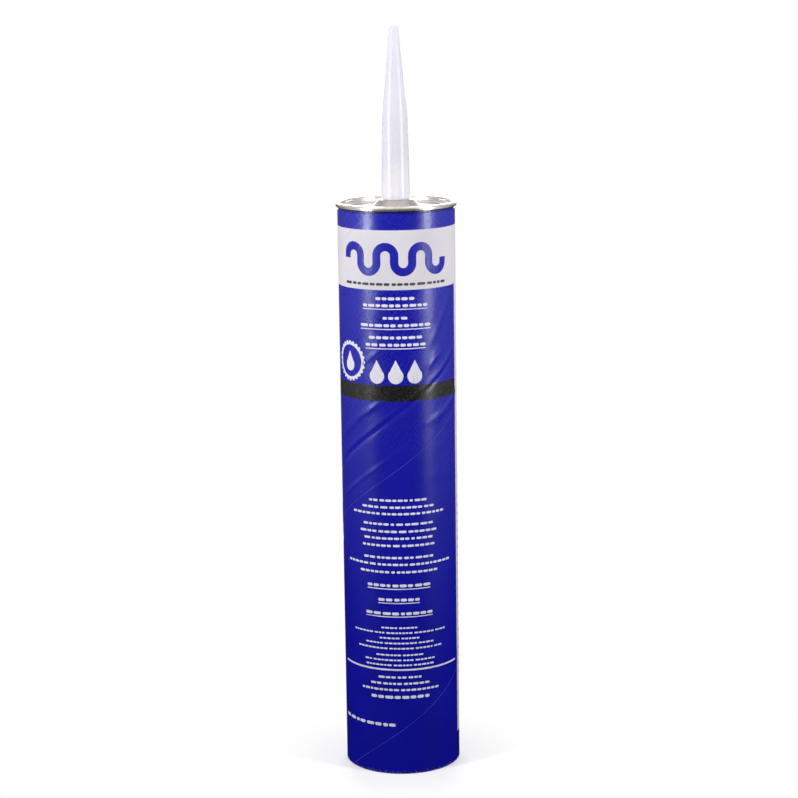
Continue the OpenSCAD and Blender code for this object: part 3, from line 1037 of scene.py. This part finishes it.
@dataclass
class PrintedMarks:
    """The marks of one printed colour, laid on the paper and following its relief."""

    node: str
    wrap: PaperWrap
    ink: float = 0.05 * MM
    sunk: float = 0.03 * MM
    bend_step: float = 3.0
    dash_share: float = 1.25
    gap_share: float = 0.26
    tall_share: float = 0.62
    uneven: tuple[float, float] = (0.7, 1.3)
    round_share: float = 0.42
    bend_start: float = 0.37
    break_reach: float = 0.3 * MM
    joins_halves: bool = False
    seed: int = 7

    @staticmethod
    def _marks(bm: BMesh) -> list[Mark]:
        """Groups the joined vertices, one group for each mark.

        Args:
            bm: The mesh of all marks.

        Returns:
            The marks from the top down and from left to right.
        """
        seen = set()
        marks = []
        for first in bm.verts:
            if first in seen:
                continue
            seen.add(first)
            group = [first]
            for vert in group:
                others = [edge.other_vert(vert) for edge in vert.link_edges]
                fresh = [other for other in others if other not in seen]
                seen.update(fresh)
                group.extend(fresh)
            marks.append(Mark(group))
        return sorted(marks, key=lambda m: (-m.heights[0], m.turns[0]))

    def _divide(self, bm: BMesh, words: list[Mark]) -> None:
        """Puts dashes in the place of the words' bars.

        Args:
            bm: The mesh of all marks.
            words: The bars.
        """
        bmesh.ops.delete(bm, geom=[v for m in words for v in m.verts], context="VERTS")
        self._bend(bm)
        dashes = self._dashes(words)
        made = bpy.data.meshes.new("dashes")
        dashes.to_mesh(made)
        dashes.free()
        bm.from_mesh(made)
        bpy.data.meshes.remove(made)

    def _dashes(self, words: list[Mark]) -> BMesh:
        """Fills the words' bars with plain dashes of uneven length.

        The dashes are made flat, with the way round the barrel along X, and then bent.

        Args:
            words: The bars.

        Returns:
            A mesh of the dashes, laid round the barrel.
        """
        flat = bmesh.new()
        rng = Random(self.seed)
        for word in words:
            reach = sum(word.reaches) / 2
            left, right = (math.radians(t) * reach for t in word.turns)
            gap = word.height * self.gap_share
            count = max(1, round((right - left) / (word.height * self.dash_share + gap)))
            parts = [rng.uniform(*self.uneven) for _ in range(count)]
            scale = (right - left - gap * (count - 1)) / sum(parts)
            for part in parts:
                self._dash(flat, word, left, part * scale)
                left += part * scale + gap
        self._round(flat)
        return flat

    def _dash(self, flat: BMesh, word: Mark, left: float, width: float) -> None:
        """Adds one dash with rounded ends.

        Args:
            flat: The flat mesh.
            word: The bar that it lies on.
            left: Where it starts, measured round the barrel.
            width: Its length.
        """
        tall = word.height * self.tall_share
        deep = word.reaches[1] - word.reaches[0]
        middle = (left + width / 2, -sum(word.reaches) / 2, word.heights[0] + tall / 2)
        spot = Matrix.Translation(middle) @ Matrix.Diagonal((width, deep, tall, 1))
        box = bmesh.ops.create_cube(flat, size=1.0, matrix=spot)["verts"]
        corners = [e for v in box for e in v.link_edges
                   if v == e.verts[0] and abs(v.co.y - e.verts[1].co.y) > MERGE]
        bmesh.ops.bevel(flat, geom=corners, offset=min(width, tall) * self.round_share, segments=3,
                        affect="EDGES", profile=0.5, material=-1)

    def _round(self, flat: BMesh) -> None:
        """Bends the flat mesh round the barrel, in narrow facets.

        Args:
            flat: The mesh, with the way round the barrel along X.
        """
        step = math.radians(self.bend_step) * self.wrap.radius
        spread = [v.co.x for v in flat.verts] or [0.0]
        for number in range(math.ceil(min(spread) / step), math.floor(max(spread) / step) + 1):
            cut(flat, (Vector((number * step, 0, 0)), Vector((1, 0, 0))))
        for vert in flat.verts:
            reach = -vert.co.y
            vert.co = place(math.degrees(vert.co.x / reach), reach, vert.co.z)

    def _join_halves(self, bm: BMesh) -> None:
        """Closes the narrow level break half way up, so that the figure is one stroke.

        Args:
            bm: The mesh of the figure.
        """
        heights = [v.co.z for v in bm.verts]
        level = (min(heights) + max(heights)) / 2
        for vert in bm.verts:
            if abs(vert.co.z - level) < self.break_reach:
                vert.co.z = level
        bmesh.ops.remove_doubles(bm, verts=bm.verts[:], dist=MERGE)
        between = [f for f in bm.faces if all(abs(v.co.z - level) < MERGE for v in f.verts)]
        bmesh.ops.delete(bm, geom=between, context="FACES")
        rim = [e for e in bm.edges if e.is_boundary]
        bmesh.ops.holes_fill(bm, edges=rim, sides=0)

    def _bend(self, bm: BMesh) -> None:
        """Cuts the wide marks into narrow facets, so that they follow the barrel.

        Args:
            bm: The mesh of all marks.
        """
        turns = [turn_of(v.co) % FULL_TURN for v in bm.verts]
        steps = {round(t / self.bend_step) for t in turns}
        for step in sorted({s % round(FULL_TURN / 2 / self.bend_step) for s in steps}):
            cut(bm, axial_plane(step * self.bend_step + self.bend_start))

    def _lay(self, bm: BMesh, half_way: float) -> None:
        """Lays the marks on the paper, as thin as ink and sunk a little into it.

        Args:
            bm: The mesh of all marks.
            half_way: The reach that parts their outer sides from their inner ones.
        """
        for vert in bm.verts:
            turn, height = turn_of(vert.co), vert.co.z
            lift = self.wrap.relief(turn, height) + self.wrap.lap_lift(turn, height)
            layer = self.ink if vert.co.xy.length > half_way else -self.sunk
            vert.co = place(turn, self.wrap.radius + lift + layer, height)

    def build(self, name: str, material: Material, slot: str) -> bpy.types.Object:
        """Makes the piece.

        Args:
            name: The piece's name.
            material: Its material.
            slot: The record's material slot.

        Returns:
            The piece.
        """
        bm = bmesh.new()
        bm.from_mesh(frame["nodes"][self.node].data)
        bmesh.ops.remove_doubles(bm, verts=bm.verts[:], dist=MERGE)
        if self.joins_halves:
            self._join_halves(bm)
        marks = self._marks(bm)
        half_way = (min(m.reaches[0] for m in marks) + max(m.reaches[1] for m in marks)) / 2
        self._divide(bm, [m for m in marks if m.is_word()])
        self._lay(bm, half_way)
        self.wrap.lay_uv(bm)
        piece = finish_piece(name, bm, material, slot)
        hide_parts(self.node)
        return piece


@dataclass
class AdhesiveColumn:
    """The adhesive between the plunger and the metal end, which the plunger squeezes up."""

    bottom: float
    top: float
    radius: float
    nub_radius: float
    nub_top: float
    left_at_end: float
    steps: int = 96
    round_off: float = 0.8 * MM

    @classmethod
    def from_frame(cls) -> "AdhesiveColumn":
        """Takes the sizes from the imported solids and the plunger's stroke.

        Returns:
            The column.
        """
        low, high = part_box("adhesive")
        nub = [v.co for v in frame["nodes"]["adhesive"].data.vertices
               if low.z + MERGE < v.co.z < high.z - MERGE]
        stroke = next(j for j in frame["joints"] if j["name"] == SLIDE)["range_m"][1]
        nub_top = max(c.z for c in nub)
        return cls(low.z, high.z, high.x, max(c.xy.length for c in nub), nub_top,
                   (high.z - nub_top - stroke) / (high.z - low.z))

    def build(self, material: Material) -> bpy.types.Object:
        """Makes the column, turned round the axis with rounded outer corners.

        Args:
            material: Its material.

        Returns:
            The piece.
        """
        bm = bmesh.new()
        corners = [
            (0.0, self.nub_top), (self.nub_radius, self.nub_top), (self.nub_radius, self.bottom),
            (self.radius, self.bottom), (self.radius, self.top), (0.0, self.top),
        ]
        verts = [bm.verts.new((reach, 0, height)) for reach, height in corners]
        for pair in zip(verts, verts[1:]):
            bm.edges.new(pair)
        bmesh.ops.bevel(bm, geom=verts[3:5], offset=self.round_off, segments=3, affect="VERTICES",
                        profile=0.5, material=-1)
        bmesh.ops.spin(bm, geom=bm.verts[:] + bm.edges[:], cent=(0, 0, 0), axis=(0, 0, 1),
                       dvec=(0, 0, 0), angle=math.tau, steps=self.steps, use_merge=True)
        bmesh.ops.remove_doubles(bm, verts=bm.verts[:], dist=MERGE)
        bmesh.ops.recalc_face_normals(bm, faces=bm.faces[:])
        piece = finish_piece("adhesive_column", bm, material, "adhesive_paste")
        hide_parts("adhesive")
        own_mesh(piece)
        return piece


@dataclass(frozen=True)
class Softbox:
    """A soft lamp that stands round the object and faces its axis."""

    name: str
    azimuth: float
    power: float
    distance: float = 0.62
    height: float = 0.52
    width: float = 0.13
    tall: float = 0.64
    aim: float = 0.42

    def build(self) -> bpy.types.Object:
        """Makes the lamp, which lights and mirrors but isn't seen itself.

        Returns:
            The lamp.
        """
        lamp = bpy.data.lights.new(self.name, "AREA")
        lamp.shape = "RECTANGLE"
        lamp.size, lamp.size_y = self.width, self.tall
        lamp.energy = self.power
        made = bpy.data.objects.new(self.name, lamp)
        made.location = place(self.azimuth, self.distance, self.height)
        towards = Vector((0, 0, self.aim)) - made.location
        made.rotation_euler = towards.to_track_quat("-Z", "Y").to_euler()
        made.visible_camera = False
        bpy.context.scene.collection.objects.link(made)
        return made


@dataclass
class Studio:
    """Pale floor, plain soft lamps, white room and the camera of the photograph."""

    focal_pixels: float = 2185.0
    frame_pixels: float = 798.0
    sensor: float = 36.0
    eye: tuple[float, float, float] = (0.0002, -1.2225, 0.4557)
    pitch: float = 11.22
    roll: float = 0.78
    floor_radius: float = 0.5
    window_radius: float = 0.0325
    shadow_radii: tuple[float, float] = (0.034, 0.085)
    shadow_lift: float = 0.35
    floor_colour: Colour = (246, 246, 247)
    floor_bounce: Colour = (72, 72, 73)
    floor_gloss: Colour = (22, 22, 23)
    ambient: float = 0.2
    dark_side: float = 0.65
    under_side: float = 0.06
    horizon: tuple[float, float] = (-0.04, 0.04)
    behind_levels: tuple[float, float] = (0.2, 0.9)
    side_sheen: float = 0.75
    side_fades: float = 0.2
    side_levels: tuple[float, float] = (-0.78, -0.4)
    fade_levels: tuple[float, float] = (-0.1, 0.9)
    sheen_levels: tuple[float, float] = (-0.27, -0.1)

    def lamps(self) -> list[Softbox]:
        """Lists two tall lamps in front, a faint low one, and wide ones below, behind and overhead.

        Returns:
            The lamps.
        """
        return [
            Softbox("softbox_left", -57, 4.0),
            Softbox("softbox_right", 61, 3.5),
            Softbox("softbox_low", 58, 0.1, height=0.14, width=0.2, tall=0.16, aim=0.2),
            Softbox("softbox_under", 0, 3.0, distance=0.2, height=-0.55, width=0.5, tall=0.5, aim=0.0),
            Softbox("softbox_back", 180, 9.0, distance=1.0, height=0.6, width=0.7, tall=0.7, aim=0.2),
            Softbox("softbox_top", 0, 4.0, distance=0.15, height=1.3, width=1.4, tall=1.4, aim=0.0),
        ]

    def floor(self) -> bpy.types.Object:
        """Makes the floor: white as seen, with the object's soft shadow near its foot.

        Under the open rear end it has a window, so that the bore is lit when seen from below.

        Returns:
            The floor.
        """
        bm = bmesh.new()
        bmesh.ops.create_circle(bm, cap_ends=True, radius=self.floor_radius, segments=96)
        inner = bmesh.ops.inset_region(bm, faces=bm.faces[:], use_boundary=True,
                                       thickness=self.floor_radius - self.window_radius)
        middle = [f for f in bm.faces if f not in inner["faces"]]
        bmesh.ops.delete(bm, geom=middle, context="FACES")
        mesh = bpy.data.meshes.new("floor")
        bm.to_mesh(mesh)
        bm.free()
        made = bpy.data.objects.new("floor", mesh)
        mesh.materials.append(self.floor_material())
        bpy.context.scene.collection.objects.link(made)
        return made

    def floor_material(self) -> Material:
        """Makes the floor's material: matt near the object, plain white further out, clear from below.

        Returns:
            The material.
        """
        material = bpy.data.materials.new("pale_floor")
        g = Graph.of(material)
        path = g.node("ShaderNodeLightPath").outputs
        spot = g.node("ShaderNodeTexCoord").outputs["Object"]
        away = g.node("ShaderNodeVectorMath", {0: spot}, operation="LENGTH").outputs["Value"]
        far = g.spread(away, *self.shadow_radii, self.shadow_lift, 1.0)
        seen = g.calc("MAXIMUM", path["Is Camera Ray"], path["Is Transmission Ray"])
        unseen = g.blend(path["Is Glossy Ray"], linear(self.floor_bounce), linear(self.floor_gloss))
        colour = g.blend(seen, unseen, linear(self.floor_colour))
        matt = g.node("ShaderNodeBsdfDiffuse", {"Color": colour}).outputs[0]
        plain = g.node("ShaderNodeEmission", {"Color": WHITE, "Strength": 1.0}).outputs[0]
        top = g.node("ShaderNodeMixShader", {0: g.scaled(far, seen), 1: matt, 2: plain}).outputs[0]
        clear = g.node("ShaderNodeBsdfTransparent").outputs[0]
        below = g.node("ShaderNodeNewGeometry").outputs["Backfacing"]
        both = g.node("ShaderNodeMixShader", {0: below, 1: top, 2: clear})
        g.node("ShaderNodeOutputMaterial", {"Surface": both.outputs[0]})
        return material

    def room(self) -> None:
        """Makes the world: white as seen, white behind the object in gloss, dim in front."""
        world = bpy.data.worlds.new("studio")
        g = Graph.of(world)
        path = g.node("ShaderNodeLightPath").outputs
        _, back, up = g.parts(g.node("ShaderNodeTexCoord").outputs["Generated"])
        over = g.spread(up, *self.horizon, self.under_side, 1.0)
        behind = g.scaled(g.spread(back, *self.behind_levels, self.dark_side, 1.0), over)
        fading = g.spread(back, *self.fade_levels, self.side_sheen, self.side_sheen * self.side_fades)
        beside = g.scaled(g.spread(back, *self.side_levels), fading)
        sheen = g.scaled(beside, g.spread(up, *self.sheen_levels))
        mirrored = g.scaled(path["Is Glossy Ray"], g.calc("MAXIMUM", behind, sheen))
        seen = g.calc("MAXIMUM", path["Is Camera Ray"], path["Is Transmission Ray"])
        ambient = g.scaled(path["Is Diffuse Ray"], self.ambient)
        lit = g.calc("MAXIMUM", g.calc("MAXIMUM", seen, mirrored), ambient)
        white = g.node("ShaderNodeBackground", {"Color": WHITE, "Strength": lit})
        g.node("ShaderNodeOutputWorld", {"Surface": white.outputs[0]})
        bpy.context.scene.world = world

    def camera(self) -> None:
        """Makes the camera where the photograph was taken from."""
        pitch, roll = math.radians(self.pitch), math.radians(self.roll)
        forward = Vector((0, math.cos(pitch), -math.sin(pitch)))
        level_up = Vector((0, math.sin(pitch), math.cos(pitch)))
        right = Vector((1, 0, 0)) * math.cos(roll) - level_up * math.sin(roll)
        up = Vector((1, 0, 0)) * math.sin(roll) + level_up * math.cos(roll)
        data = bpy.data.cameras.new("camera")
        data.sensor_width = self.sensor
        data.lens = self.focal_pixels / self.frame_pixels * self.sensor
        made = bpy.data.objects.new("camera", data)
        axes = Matrix((right, up, -forward)).transposed().to_4x4()
        made.matrix_world = Matrix.Translation(self.eye) @ axes
        bpy.context.scene.collection.objects.link(made)
        bpy.context.scene.camera = made

    def build(self) -> None:
        """Makes the whole studio."""
        self.camera()
        self.room()
        self.floor()
        for lamp in self.lamps():
            lamp.build()
        bpy.context.scene.view_settings.view_transform = "Standard"


def dress(node: str, material: Material) -> None:
    """Gives a carried-over solid its material.

    Args:
        node: The solid's node.
        material: The material.
    """
    mesh = frame["nodes"][node].data
    mesh.materials.clear()
    mesh.materials.append(material)
    LOG.info("%s: dressed with %s", node, material.name)


def main() -> None:
    """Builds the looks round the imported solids."""
    logging.basicConfig(level=logging.INFO, format="%(message)s")
    Studio().build()
    effects = Effects()
    wrap = PaperWrap.from_frame()
    paper = partial(PaperFinish, edge=wrap.low, rim=wrap.rim_low)
    blue = paper("blue_paper", (15, 18, 172), (11, 13, 162), (96, 98, 190)).build(effects)
    white = paper("white_paper", (228, 224, 232), (221, 216, 225), (236, 232, 236),
                  roughness=0.46, gloss=0.2, scuff=0.01 * MM).build(effects)
    black = paper("black_ink", (11, 11, 13), (8, 8, 9), (92, 90, 88),
                  grain=1100.0, speckle=0.5).build(effects)
    # Paler blue on the lap edge of each turn: a painted highlight along the cut edge, kept in worn
    worn = paper("worn_paper_edge", (96, 100, 206), (40, 44, 180), (150, 150, 204),
                 roughness=0.3).build(effects)
    wrap.build({
        Print.BLUE: (blue, "wrap_blue"), Print.WHITE_BAND: (white, "ink_white"),
        Print.BLACK_STRIPE: (black, "ink_black"), Print.BACK_PANEL: (white, "ink_white"),
        Print.LAP_EDGE: (worn, "wrap_blue"),
    })
    front = paper("white_ink", (238, 236, 245), (231, 228, 240), (200, 198, 220),
                  roughness=0.4, gloss=0.3).build(effects)
    bead = paper("bead_blue_ink", (24, 28, 170), (20, 24, 160), (96, 98, 190),
                 roughness=0.32, gloss=0.5).build(effects)
    grey = paper("grey_ink", (84, 76, 92), (70, 62, 78), (120, 114, 126),
                 roughness=0.4, gloss=0.3).build(effects)
    PrintedMarks("front_print", wrap).build("front_marks", front, "ink_white")
    PrintedMarks("bead_motif", wrap, joins_halves=True).build("bead_marks", bead, "ink_blue")
    PrintedMarks("tagline", wrap, seed=3).build("tagline_marks", grey, "ink_grey")
    PrintedMarks("back_print", wrap, seed=11).build("back_marks", grey, "ink_grey")
    paste = PlainFinish("adhesive_paste", (205, 188, 152), (186, 166, 128), scale=160.0,
                        relief=0.4 * MM, roughness=0.35)
    AdhesiveColumn.from_frame().build(paste.build(effects))
    carried = {
        "fibre_tube": BoardFinish(),
        "top_end": TinFinish(),
        "nozzle": MilkyFinish("nozzle_plastic", (228, 226, 237), (222, 220, 233), roughness=0.24),
        "plunger": MilkyFinish("plunger_plastic", (222, 224, 221), (206, 208, 204), glow=0.2),
        "membrane": PlainFinish("foil_film", (214, 214, 216), (176, 176, 180), scale=320.0,
                                relief=0.1 * MM, roughness=0.25, metal=0.8),
    }
    for node, finish in carried.items():
        dress(node, finish.build(effects))


if __name__ == "__main__":
    main()
